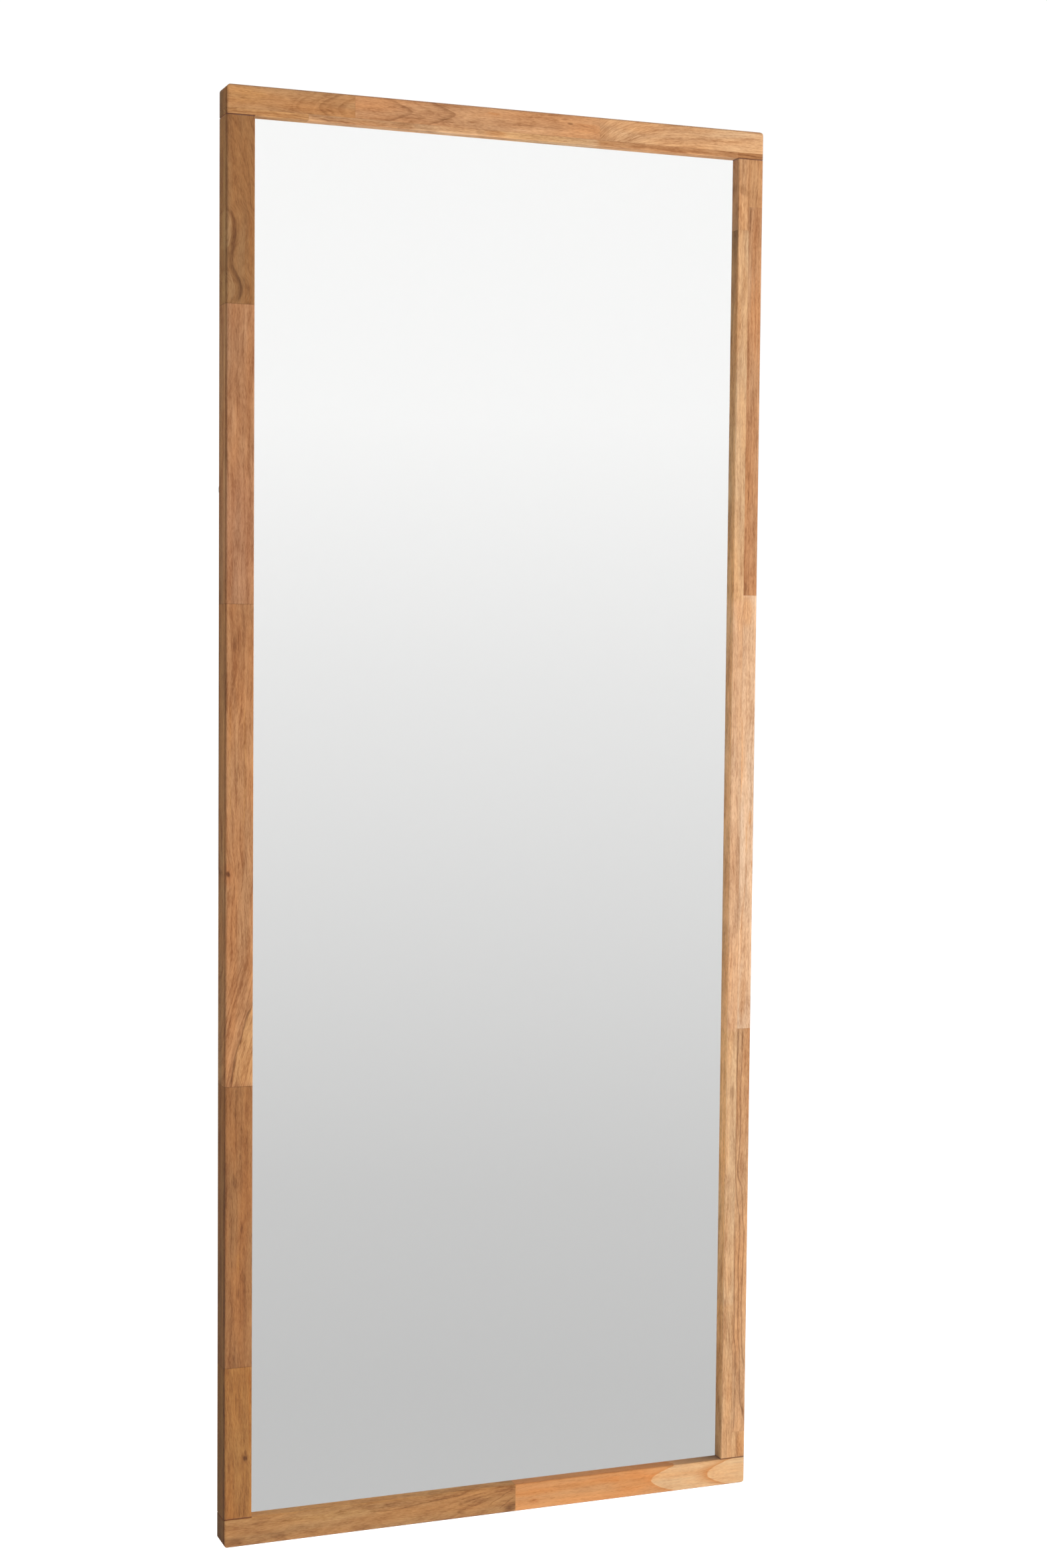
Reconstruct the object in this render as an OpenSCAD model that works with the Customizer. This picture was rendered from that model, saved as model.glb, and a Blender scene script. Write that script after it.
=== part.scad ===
// Full-length mirror: an oak frame glued up from staves, a silvered glass pane bedded in the
// frame's rebate, a backing board held by turn buttons, and two ring hangers for the wall.
// +X is right as seen from the front, +Y is towards the wall and +Z is up. The origin is
// under the middle of the bottom rail, half way through the whole depth.

/* [Frame] */
// Overall width of the frame
frame_w = 600; // [420:10:900]
// Overall height of the frame
frame_h = 1500; // [1100:10:2000]
// Depth of the frame from front to back
frame_d = 30; // [28:0.5:45]
// Height of the top and bottom rails, which run the full width
rail_h = 30; // [28:0.5:60]
// Width of the stiles, which stand between the rails
stile_w = 30; // [28:0.5:60]
// Rounding of the outer long edges and of the rails' ends
outer_r = 3; // [1:0.25:4]
// Rounding of the edges round the opening and at the joints
inner_r = 1.5; // [0.5:0.25:2.5]
// Rounding of the frame's four corners, seen from the front
corner_r = 6; // [2:0.5:8]

/* [Staves] */
// Height of the top rail's lower row of staves
top_lower_h = 6; // [4:0.5:9]
// Width of the right stile's inner row of staves
right_inner_w = 13; // [11:0.5:17]
// Joints in the top rail's upper row, as shares of its length from the left
top_upper_joints = [0.225, 0.677]; // [0.1:0.001:0.9]
// Joints in the top rail's lower row, as shares of its length from the left
top_lower_joints = [0.143, 0.948]; // [0.1:0.001:0.96]
// Joint in the bottom rail, as a share of its length from the left
bottom_joints = [0.54]; // [0.1:0.001:0.9]
// Joints in the left stile, as shares of its length from the top
left_joints = [0.131, 0.341, 0.685, 0.889]; // [0.1:0.001:0.95]
// Joints in the right stile's outer row, as shares of its length from the top
right_outer_joints = [0.036, 0.329, 0.6625, 0.9795]; // [0.02:0.001:0.98]
// Joint in the right stile's inner row, as a share of its length from the top
right_inner_joints = [0.0535]; // [0.02:0.001:0.98]

/* [Glass and backing] */
// Depth of the lip in front of the rebate
lip_d = 15; // [8:0.5:16]
// Width of the rebate behind the lip
rebate_w = 10; // [8:0.5:12]
// Thickness of the mirror glass
glass_t = 4; // [3:0.5:6]
// Gap between the glass and the rebate, which the packers fill
glass_gap = 2; // [1:0.25:3]
// Bevel of the glass's ground edges
glass_arris = 0.5; // [0.2:0.1:1]
// Thickness of the silvering with its safety film
film_t = 0.4; // [0.2:0.1:0.8]
// Margin of clear glass round the silvering
film_margin = 1; // [0.5:0.25:2]
// Thickness of the glazing tape between the lip and the glass
glazing_t = 1; // [0.5:0.25:2]
// Distance from the edge of the lip to the glazing tape
glazing_inset = 0.5; // [0.2:0.1:1.5]
// Width of the glazing tape
glazing_w = 7; // [4:0.5:7]
// Length of each packer round the glass
packer_len = 40; // [20:2:60]
// Distance from the glass's corners to the nearest packers
packer_inset = 90; // [60:5:150]
// Thickness of the foam tape between the film and the backing board
mounting_t = 1.6; // [1:0.2:2.4]
// Width of each strip of that foam tape
mounting_w = 25; // [15:1:40]
// Number of strips of that foam tape
mounting_count = 4; // [2:1:6]
// Distance from the strips' ends to the edge of the film
mounting_inset = 60; // [30:5:100]
// Gap between the backing board and the rebate
board_gap = 0.5; // [0.25:0.25:1]

/* [Dowels] */
// Diameter of the dowels in the corner joints
dowel_d = 8; // [6:0.5:10]
// Length of the dowels
dowel_len = 40; // [30:1:50]
// How far each dowel goes into its rail
dowel_in_rail = 18; // [12:1:22]
// Distance from the frame's side to the dowels' axes
dowel_side = 10; // [7:0.5:12]
// Distance from the frame's front and back to the dowels' axes
dowel_face = 9; // [7:0.5:9]
// Clearance round each dowel
dowel_play = 0.05; // [0.02:0.01:0.1]
// Space for glue at each end of a dowel
dowel_glue = 0.8; // [0.4:0.1:0.9]

/* [Turn buttons] */
// Length of a turn button
turn_len = 38; // [32:1:46]
// Width of a turn button
turn_w = 12; // [9:0.5:14]
// Thickness of a turn button
turn_t = 1.5; // [1:0.25:2.5]
// Distance from the frame's outer side to each pivot
turn_side = 10; // [8:0.5:12]
// Distance from the frame's top and bottom to the end turn buttons on the stiles
turn_end = 200; // [120:5:300]
// Running gap under and over a turn button
turn_gap = 0.3; // [0.2:0.05:0.4]

/* [Hangers] */
// Distance from the frame's top to the hangers' hinge line
hanger_drop = 400; // [250:10:500]
// Distance from the frame's side to the middle of each hanger
hanger_side = 10; // [9.5:0.25:12]
// Width of a hanger's strap
strap_w = 11; // [9:0.5:11]
// Length of a hanger's strap below its eye
strap_len = 42; // [38:1:60]
// Thickness of a hanger's strap
strap_t = 1.2; // [1:0.1:1.5]
// Distance from the hinge line to the strap's upper screw
strap_first_hole = 20; // [19:0.5:22]
// Distance between the strap's two screws
strap_hole_pitch = 14; // [10:0.5:16]
// Diameter of the wire that the rings are bent from
ring_wire = 2.5; // [2:0.25:3]
// Outer width of a ring
ring_w = 18; // [17.5:0.25:19]
// Length of a ring's straight sides
ring_side = 3; // [2:0.5:4]
// Bend radius of a ring's two corners, on the wire's centre line
ring_bend = 2; // [1.75:0.05:2]
// Play between the ring and the strap's eye
ring_play = 0.3; // [0.3:0.05:0.5]

/* [Screws] */
// Diameter of the screws' shanks
shank_d = 3.5; // [3:0.1:4]
// Diameter of the screws' heads
head_d = 7; // [6.5:0.25:8]
// Height of the screws' heads
head_h = 2.2; // [1.8:0.1:2.6]
// Height of the domed part of the heads
dome_h = 1.3; // [1:0.1:1.6]
// Length of a turn button's screw under its head
turn_screw_len = 16; // [12:1:20]
// Length of a hanger's screw under its head
hanger_screw_len = 20; // [14:1:24]
// Length of the screws' points
point_len = 4; // [2:0.5:5]
// Diameter of the screws' blunt tips
tip_d = 0.6; // [0.3:0.1:1]
// Width of each arm of the cross recess
recess_w = 0.9; // [0.6:0.1:1.2]
// Span of the cross recess
recess_span = 4; // [3:0.25:4.5]
// Depth of the cross recess
recess_depth = 1.2; // [0.8:0.1:1.5]
// Clearance of a screw's shank in wood
pilot_play = 0.05; // [0.02:0.01:0.1]
// Clearance of a screw's shank in metal
hole_play = 0.4; // [0.3:0.05:0.6]

/* [Wall bumpers] */
// Diameter of the rubber bumpers
bumper_d = 12; // [9:0.5:14]
// Height of the rubber bumpers
bumper_h = 6; // [6:0.5:10]
// Rounding of the bumpers' rims
bumper_r = 1.5; // [0.5:0.25:2]
// Distance from the frame's side to the middle of each bumper
bumper_side = 10; // [9:0.5:12]
// Distance from the frame's top and bottom to the middle of each bumper
bumper_end = 60; // [20:5:100]

/* [Hidden] */
$fn = 64;
over = 1;
total_d = frame_d + bumper_h;
front_y = -total_d / 2;
back_y = front_y + frame_d;
half_w = frame_w / 2;
stile_len = frame_h - 2 * rail_h;
mid_z = frame_h / 2;

open_w = frame_w - 2 * stile_w;
rebate_x = open_w / 2 + rebate_w;
rebate_z = stile_len / 2 + rebate_w;
glazing_y = front_y + lip_d;
glass_y = glazing_y + glazing_t;
film_y = glass_y + glass_t;
mounting_y = film_y + film_t;
board_y = mounting_y + mounting_t;
glass_x = rebate_x - glass_gap;
glass_z = rebate_z - glass_gap;
film_x = glass_x - film_margin;
film_z = glass_z - film_margin;
board_x = rebate_x - board_gap;
board_z = rebate_z - board_gap;
glazing_x = open_w / 2 + glazing_inset;
glazing_z = stile_len / 2 + glazing_inset;

shank_r = shank_d / 2;
pilot_r = shank_r + pilot_play;
hole_r = shank_r + hole_play;
turn_y = back_y + turn_gap;
turn_seat_y = turn_y + turn_t + turn_gap;
hanger_x = half_w - hanger_side;
hanger_z = frame_h - hanger_drop;
eye_r = ring_wire / 2 + ring_play;
eye_outer_r = eye_r + strap_t;
hinge_y = back_y + eye_outer_r;
strap_holes = [strap_first_hole, strap_first_hole + strap_hole_pitch];

// Name, member, start and end across it from the opening outwards, joints along it
ROWS = [
    ["top_rail_upper_stave", "top_rail", top_lower_h, rail_h, top_upper_joints],
    ["top_rail_lower_stave", "top_rail", 0, top_lower_h, top_lower_joints],
    ["bottom_rail_stave", "bottom_rail", 0, rail_h, bottom_joints],
    ["left_stile_stave", "left_stile", 0, stile_w, left_joints],
    ["right_stile_outer_stave", "right_stile", right_inner_w, stile_w, right_outer_joints],
    ["right_stile_inner_stave", "right_stile", 0, right_inner_w, right_inner_joints]
];

// Name, row, start and end along the member as shares of its length, number in the row
STAVES = [
    for (row = ROWS, i = [0 : len(row[4])])
        [
            str(row[0], "_", i + 1),
            row,
            i == 0 ? 0 : row[4][i - 1],
            i == len(row[4]) ? 1 : row[4][i],
            i
        ]
];

// Name, place across, height, turn about Y that points the button at the board
turn_x = half_w - turn_side;
turn_top = frame_h - turn_side;
TURNS = [
    ["left_turn_button_low", -turn_x, turn_end, 0],
    ["left_turn_button_middle", -turn_x, mid_z, 0],
    ["left_turn_button_high", -turn_x, frame_h - turn_end, 0],
    ["right_turn_button_low", turn_x, turn_end, 180],
    ["right_turn_button_middle", turn_x, mid_z, 180],
    ["right_turn_button_high", turn_x, frame_h - turn_end, 180],
    ["top_turn_button", 0, turn_top, 90],
    ["bottom_turn_button", 0, turn_side, -90]
];

// Name, side of the frame and end of it
BUMPERS = [
    ["bumper_top_left", -1, 1],
    ["bumper_top_right", 1, 1],
    ["bumper_bottom_left", -1, -1],
    ["bumper_bottom_right", 1, -1]
];

oak_tones = ["#c58f58", "#b57f4a", "#d3a36c", "#bd8850"];
steel = "#b9bcbf";
zinc = "#c9ccd0";
foam = "#3a3c3b";

// What a rounding of radius r takes off a square corner at the origin
module corner_waste(r) {
    difference() {
        translate([-over, -over])
            square(r + over);
        translate([r, r])
            circle(r);
    }
}

// Rectangle whose corners are rounded by r: low left, low right, high right, high left
module rounded(w, h, r) {
    difference() {
        square([w, h]);
        corner_waste(r[0]);
        translate([w, 0]) mirror([1, 0]) corner_waste(r[1]);
        translate([w, h]) rotate(180) corner_waste(r[2]);
        translate([0, h]) mirror([0, 1]) corner_waste(r[3]);
    }
}

// A frame member lying along X from its start, with the opening under it
module member(length, h, corner, ends) {
    intersection() {
        rotate([90, 0, 90])
            linear_extrude(length)
                rounded(frame_d, h, [inner_r, inner_r, outer_r, outer_r]);
        translate([0, frame_d, 0])
            rotate([90, 0, 0])
                linear_extrude(frame_d)
                    rounded(length, h, [inner_r, inner_r, corner, corner]);
        linear_extrude(h)
            rounded(length, frame_d, [ends, ends, ends, ends]);
    }
}

module rail() {
    stop = stile_w - rebate_w;
    difference() {
        member(frame_w, rail_h, corner_r, outer_r);
        translate([stop, lip_d, -over])
            cube([frame_w - 2 * stop, frame_d, rebate_w + over]);
    }
}

module stile() {
    difference() {
        member(stile_len, stile_w, inner_r, inner_r);
        translate([-over, lip_d, -over])
            cube([stile_len + 2 * over, frame_d, rebate_w + over]);
    }
}

// Puts what lies along X, with the opening under it, where the named member is
module place(name) {
    if (name == "top_rail")
        translate([-half_w, front_y, frame_h - rail_h]) children();
    if (name == "bottom_rail")
        translate([-half_w, front_y, rail_h]) mirror([0, 0, 1]) children();
    if (name == "right_stile")
        translate([open_w / 2, front_y, frame_h - rail_h]) rotate([0, 90, 0]) children();
    if (name == "left_stile")
        mirror([1, 0, 0]) place("right_stile") children();
}

module stave(s) {
    row = s[1];
    is_rail = row[1] == "top_rail" || row[1] == "bottom_rail";
    length = is_rail ? frame_w : stile_len;
    color(oak_tones[s[4] % len(oak_tones)])
        difference() {
            place(row[1])
                intersection() {
                    if (is_rail) rail(); else stile();
                    translate([s[2] * length, 0, row[2]])
                        cube([(s[3] - s[2]) * length, frame_d, row[3] - row[2]]);
                }
            dowels(dowel_play, dowel_glue);
            pilot_holes();
        }
}

module dowels(play, glue) {
    dowel_x = half_w - dowel_side;
    for (side = [-1, 1], end = [0, 1], y = [front_y + dowel_face, back_y - dowel_face])
        translate([side * dowel_x, y, mid_z])
            mirror([0, 0, end])
                translate([0, 0, stile_len / 2 + dowel_in_rail - dowel_len - glue])
                    cylinder(h = dowel_len + 2 * glue, r = dowel_d / 2 + play);
}

module corner_dowels() {
    color("#dcc294") dowels(0, 0);
}

// Screws run along Y, with the underside of the head at the origin and the point at -Y
module screw(length) {
    dome_r = (pow(head_d / 2, 2) + pow(dome_h, 2)) / (2 * dome_h);
    rotate([90, 0, 0])
        difference() {
            union() {
                cylinder(h = length - point_len, r = shank_r);
                translate([0, 0, length - point_len])
                    cylinder(h = point_len, r1 = shank_r, r2 = tip_d / 2);
                intersection() {
                    translate([0, 0, -head_h]) cylinder(h = head_h, r = head_d / 2);
                    translate([0, 0, dome_r - head_h]) sphere(dome_r);
                }
            }
            for (turn = [0, 90])
                rotate(turn)
                    translate([-recess_span / 2, -recess_w / 2, -head_h - over])
                        cube([recess_span, recess_w, recess_depth + over]);
        }
}

module at_turns(y) {
    for (t = TURNS)
        translate([t[1], y, t[2]]) children();
}

module at_strap_holes(y) {
    for (side = [-1, 1], drop = strap_holes)
        translate([side * hanger_x, y, hanger_z - drop]) children();
}

module pilot(length) {
    translate([0, over, 0])
        rotate([90, 0, 0])
            cylinder(h = length + over, r = pilot_r);
}

module pilot_holes() {
    at_turns(back_y) pilot(turn_screw_len);
    at_strap_holes(back_y) pilot(hanger_screw_len);
}

module turn_button_screws() {
    color(zinc) at_turns(turn_seat_y) screw(turn_screw_len);
}

module hanger_screws() {
    color(zinc) at_strap_holes(back_y + strap_t) screw(hanger_screw_len);
}

module turn_button(t) {
    color(steel)
        translate([t[1], turn_y + turn_t, t[2]])
            rotate([90, t[3], 0])
                linear_extrude(turn_t)
                    difference() {
                        union() {
                            translate([0, -turn_w / 2]) square([turn_len - turn_w, turn_w]);
                            circle(turn_w / 2);
                            translate([turn_len - turn_w, 0]) circle(turn_w / 2);
                        }
                        circle(hole_r);
                    }
}

// One strip of glazing tape from the opening outwards, behind the lip
module glazing_strip(length, from_z) {
    color(foam)
        translate([-length / 2, glazing_y, from_z])
            cube([length, glazing_t, glazing_w]);
}

module glazing_tape_top() {
    translate([0, 0, mid_z])
        glazing_strip(2 * (glazing_x + glazing_w), glazing_z);
}

module glazing_tape_bottom() {
    translate([0, 0, mid_z])
        mirror([0, 0, 1])
            glazing_strip(2 * (glazing_x + glazing_w), glazing_z);
}

module glazing_tape_right() {
    translate([0, 0, mid_z])
        rotate([0, 90, 0])
            glazing_strip(2 * glazing_z, glazing_x);
}

module glazing_tape_left() {
    mirror([1, 0, 0]) glazing_tape_right();
}

// Pane with ground edges, standing on its middle
module mirror_glass() {
    bevel = [
        [glass_arris, 0], [2 * glass_x - glass_arris, 0],
        [2 * glass_x, glass_arris], [2 * glass_x, glass_t - glass_arris],
        [2 * glass_x - glass_arris, glass_t], [glass_arris, glass_t],
        [0, glass_t - glass_arris], [0, glass_arris]
    ];
    bevel_end = [for (p = bevel) [p[1], p[0] > glass_x ? p[0] + 2 * (glass_z - glass_x) : p[0]]];
    color("#9fb9b2")
        translate([-glass_x, glass_y, mid_z - glass_z])
            intersection() {
                linear_extrude(2 * glass_z) polygon(bevel);
                rotate([90, 0, 90]) linear_extrude(2 * glass_x) polygon(bevel_end);
            }
}

// One packer against the edge of the glass that lies above the origin
module packer() {
    translate([-packer_len / 2, glass_y, 0])
        cube([packer_len, glass_t, glass_gap]);
}

module glass_packers() {
    along_x = glass_x - packer_inset;
    along_z = glass_z - packer_inset;
    color("#2c2d2f")
        translate([0, 0, mid_z])
            for (side = [-1, 1], end = [0, 1]) {
                mirror([0, 0, end])
                    translate([side * along_x, 0, glass_z]) packer();
                mirror([end, 0, 0])
                    rotate([0, 90, 0])
                        translate([side * along_z, 0, glass_x]) packer();
            }
}

module mirror_silvering() {
    color("#e4e8ea")
        translate([-film_x, film_y, mid_z - film_z])
            cube([2 * film_x, film_t, 2 * film_z]);
}

module mounting_tape() {
    strip_h = 2 * (film_z - mounting_inset);
    first_x = mounting_inset + mounting_w / 2 - film_x;
    pitch = -2 * first_x / (mounting_count - 1);
    color("#e8e6df")
        for (i = [0 : mounting_count - 1])
            translate([first_x + i * pitch - mounting_w / 2, mounting_y, mid_z - strip_h / 2])
                cube([mounting_w, mounting_t, strip_h]);
}

module backing_board() {
    color("#a58560")
        translate([-board_x, board_y, mid_z - board_z])
            cube([2 * board_x, back_y - board_y, 2 * board_z]);
}

// Strap screwed to the stile, with an eye rolled round the ring's wire
module right_hanger_strap() {
    color(steel)
        translate([hanger_x, back_y, hanger_z])
            difference() {
                union() {
                    translate([-strap_w / 2, 0, strap_w / 2 - strap_len])
                        cube([strap_w, strap_t, strap_len - strap_w / 2]);
                    translate([0, strap_t, strap_w / 2 - strap_len])
                        rotate([90, 0, 0])
                            cylinder(h = strap_t, r = strap_w / 2);
                    translate([-strap_w / 2, eye_outer_r, 0])
                        rotate([0, 90, 0])
                            cylinder(h = strap_w, r = eye_outer_r);
                }
                translate([-strap_w / 2 - over, eye_outer_r, 0])
                    rotate([0, 90, 0])
                        cylinder(h = strap_w + 2 * over, r = eye_r);
                for (drop = strap_holes)
                    translate([0, strap_t + over, -drop])
                        rotate([90, 0, 0])
                            cylinder(h = strap_t + 2 * over, r = hole_r);
            }
}

module left_hanger_strap() {
    mirror([1, 0, 0]) right_hanger_strap();
}

// Part of a torus of wire about the Y axis, from angle `from` over `sweep`, seen from the front
module bent_wire(bend, from, sweep) {
    rotate([90, 0, 0])
        rotate(from)
            rotate_extrude(angle = sweep)
                translate([bend, 0]) circle(ring_wire / 2);
}

module straight_wire(length) {
    cylinder(h = length, r = ring_wire / 2);
}

// D-shaped ring hanging from its straight bar, which turns in the strap's eye
module right_hanger_ring() {
    arc_r = (ring_w - ring_wire) / 2;
    bar = arc_r - ring_bend;
    color(zinc)
        translate([hanger_x, hinge_y, hanger_z]) {
            translate([-bar, 0, 0]) rotate([0, 90, 0]) straight_wire(2 * bar);
            for (side = [0, 1])
                mirror([side, 0, 0]) {
                    translate([bar, 0, -ring_bend]) bent_wire(ring_bend, 0, 90);
                    translate([arc_r, 0, -ring_bend - ring_side]) straight_wire(ring_side);
                }
            translate([0, 0, -ring_bend - ring_side]) bent_wire(arc_r, 180, 180);
        }
}

module left_hanger_ring() {
    mirror([1, 0, 0]) right_hanger_ring();
}

module bumper(b) {
    color("#242426")
        translate([b[1] * (half_w - bumper_side), back_y, mid_z + b[2] * (mid_z - bumper_end)])
            rotate([-90, 0, 0])
                rotate_extrude()
                    difference() {
                        square([bumper_d / 2, bumper_h]);
                        translate([bumper_d / 2, bumper_h]) rotate(180) corner_waste(bumper_r);
                    }
}

for (s = STAVES) stave(s);
corner_dowels();
glazing_tape_top();
glazing_tape_bottom();
glazing_tape_left();
glazing_tape_right();
mirror_glass();
glass_packers();
mirror_silvering();
mounting_tape();
backing_board();
for (t = TURNS) turn_button(t);
turn_button_screws();
left_hanger_strap();
right_hanger_strap();
left_hanger_ring();
right_hanger_ring();
hanger_screws();
for (b = BUMPERS) bumper(b);
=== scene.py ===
import math

import bpy
from mathutils import Matrix, Vector


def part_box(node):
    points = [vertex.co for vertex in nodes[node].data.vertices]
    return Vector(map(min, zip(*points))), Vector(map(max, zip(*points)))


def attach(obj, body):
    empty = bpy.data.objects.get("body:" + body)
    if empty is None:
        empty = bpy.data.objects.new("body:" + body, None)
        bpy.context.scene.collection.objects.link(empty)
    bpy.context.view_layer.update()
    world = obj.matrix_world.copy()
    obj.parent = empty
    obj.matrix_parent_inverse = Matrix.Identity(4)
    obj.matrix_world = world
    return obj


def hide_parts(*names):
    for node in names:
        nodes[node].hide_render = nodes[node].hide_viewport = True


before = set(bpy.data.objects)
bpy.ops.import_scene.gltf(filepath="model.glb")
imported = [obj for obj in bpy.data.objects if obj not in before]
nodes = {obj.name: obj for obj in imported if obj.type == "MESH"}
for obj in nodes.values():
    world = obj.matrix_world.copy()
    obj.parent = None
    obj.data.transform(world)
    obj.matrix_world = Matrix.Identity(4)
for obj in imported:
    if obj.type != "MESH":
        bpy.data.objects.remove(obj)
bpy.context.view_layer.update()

scene = bpy.context.scene

# Camera, standing where the photograph was taken from
viewpoint = {
    "spot": (-0.9076, -2.4426, 0.9448),
    "yaw": 21.0566,     # degrees to the right of the glass's normal
    "pitch": -3.3722,   # degrees above the horizon
    "roll": 0.5231,
    "lens": 56.0,     # mm on a sensor 36 mm along its long side
}
camera = bpy.data.objects.new("camera", bpy.data.cameras.new("camera"))
scene.collection.objects.link(camera)
camera.data.lens = viewpoint["lens"]
camera.data.sensor_width = 36
camera.data.clip_start = 0.05
camera.matrix_world = (
    Matrix.Translation(viewpoint["spot"])
    @ Matrix.Rotation(math.radians(-viewpoint["yaw"]), 4, "Z")
    @ Matrix.Rotation(math.radians(90 + viewpoint["pitch"]), 4, "X")
    @ Matrix.Rotation(math.radians(viewpoint["roll"]), 4, "Z")
)
scene.camera = camera
print("camera placed")


class Wire:  # a node's socket that takes arithmetic
    def __init__(self, socket):
        self.socket = socket
        self.tree = socket.id_data

    def node(self, kind, settings=None, links=None, output=0):
        made = self.tree.nodes.new(kind)
        for key, value in (settings or {}).items():
            if key == "stops":
                ramp = made.color_ramp
                while len(ramp.elements) < len(value):
                    ramp.elements.new(1)
                for stop, (place, colour) in zip(ramp.elements, value):
                    stop.position = place
                    stop.color = (*colour, 1)
            elif key == "points":
                line = made.mapping.curves[0]
                line.points[0].location, line.points[1].location = value[0], value[-1]
                for place in value[1:-1]:
                    line.points.new(*place)
                made.mapping.update()
            else:
                setattr(made, key, value)
        for key, value in (links or {}).items():
            if isinstance(value, Wire):
                self.tree.links.new(value.socket, made.inputs[key])
            else:
                made.inputs[key].default_value = value
        return Wire(made.outputs[output])

    def out(self, name):
        return Wire(self.socket.node.outputs[name])

    def math(self, operation, *others):
        return self.node("ShaderNodeMath", {"operation": operation}, dict(enumerate([self, *others])))

    def vector(self, operation, *others):
        return self.node("ShaderNodeVectorMath", {"operation": operation}, dict(enumerate([self, *others])))

    def __add__(self, other):
        return self.math("ADD", other)

    def __sub__(self, other):
        return self.math("SUBTRACT", other)

    def __rsub__(self, other):
        return self.node("ShaderNodeMath", {"operation": "SUBTRACT"}, {0: other, 1: self})

    def __mul__(self, other):
        return self.math("MULTIPLY", other)

    def __truediv__(self, other):
        return self.math("DIVIDE", other)

    def __pow__(self, other):
        return self.math("POWER", other)

    __radd__ = __add__

    def rise(self, low, high, toLow=0.0, toHigh=1.0, soft=True):  # toLow at low, toHigh at high
        shape = {"interpolation_type": "SMOOTHSTEP" if soft else "LINEAR"}
        return self.node("ShaderNodeMapRange", shape, {0: self, 1: low, 2: high, 3: toLow, 4: toHigh})

    def follow(self, points):  # a smooth curve through given points
        lowIn, highIn = points[0][0], points[-1][0]
        levels = [level for place, level in points]
        low, span = min(levels), (max(levels) - min(levels)) or 1.0
        placed = [((place - lowIn) / (highIn - lowIn), (level - low) / span) for place, level in points]
        part = self.rise(lowIn, highIn, soft=False)
        return self.node("ShaderNodeFloatCurve", {"points": placed}, {1: part}) * span + low

    def at(self, *others):  # three numbers as one place
        return self.node("ShaderNodeCombineXYZ", None, dict(enumerate([self, *others])))

    def parts(self):  # the three numbers of a place
        made = self.node("ShaderNodeSeparateXYZ", None, {0: self})
        return made, made.out("Y"), made.out("Z")

    def noise(self, size, seed=0.0, detail=2.0, sharp=0.5, output="Factor"):  # size of one cell, in mm
        offset = (seed * 7.31, seed * 3.17, seed * 5.71)
        place = self.vector("MULTIPLY_ADD", tuple(1 / part for part in size), offset)
        made = self.node("ShaderNodeTexNoise", None, {
            "Vector": place, "Scale": 1.0, "Detail": detail, "Roughness": sharp,
        })
        return made if output == "Factor" else made.out("Color")

    def ramp(self, stops):  # a colour for each value between 0 and 1
        return self.node("ShaderNodeValToRGB", {"stops": stops}, {0: self})

    def mix(self, low, high, kind="MIX"):  # this wire is the share of high
        links = {0: self}
        for key, colour in ((6, low), (7, high)):
            links[key] = colour if isinstance(colour, Wire) else (*colour, 1)
        return self.node("ShaderNodeMix", {"data_type": "RGBA", "blend_type": kind}, links, 2)


def newMaterial(name):  # the material, its shader, and a wire of the object's own coordinates in mm
    material = bpy.data.materials.new(name)
    material.use_nodes = True
    shader = material.node_tree.nodes["Principled BSDF"]
    place = Wire(material.node_tree.nodes.new("ShaderNodeTexCoord").outputs["Object"])
    return material, shader, place.vector("MULTIPLY", (1000, 1000, 1000)), place.out("Normal")


def plug(shader, values):  # a wire or a fixed number for each named socket of the shader
    for key, value in values.items():
        if isinstance(value, Wire):
            value.tree.links.new(value.socket, shader.inputs[key])
        else:
            shader.inputs[key].default_value = value


def relief(height, strength, distance):  # a bump from a height between 0 and 1
    return height.node("ShaderNodeBump", None, {"Strength": strength, "Distance": distance, "Height": height})


def paint(material, *names):
    for name in names:
        nodes[name].data.materials.clear()
        nodes[name].data.materials.append(material)


def deselect():
    bpy.ops.object.select_all(action="DESELECT")


def pick(piece, kind, test):  # in edit mode, selects only the faces or edges that pass the test
    bpy.ops.object.mode_set(mode="EDIT")
    bpy.ops.mesh.select_mode(type=kind)
    bpy.ops.mesh.select_all(action="DESELECT")
    bpy.ops.object.mode_set(mode="OBJECT")
    for part in piece.data.polygons if kind == "FACE" else piece.data.edges:
        part.select = test(part)
    bpy.ops.object.mode_set(mode="EDIT")


def reach(piece, edge):  # from one end of an edge to the other
    start, end = (piece.data.vertices[index].co for index in edge.vertices)
    return end - start


def scaled(colour, factors):
    return tuple(part * factor for part, factor in zip(colour, factors))


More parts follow.
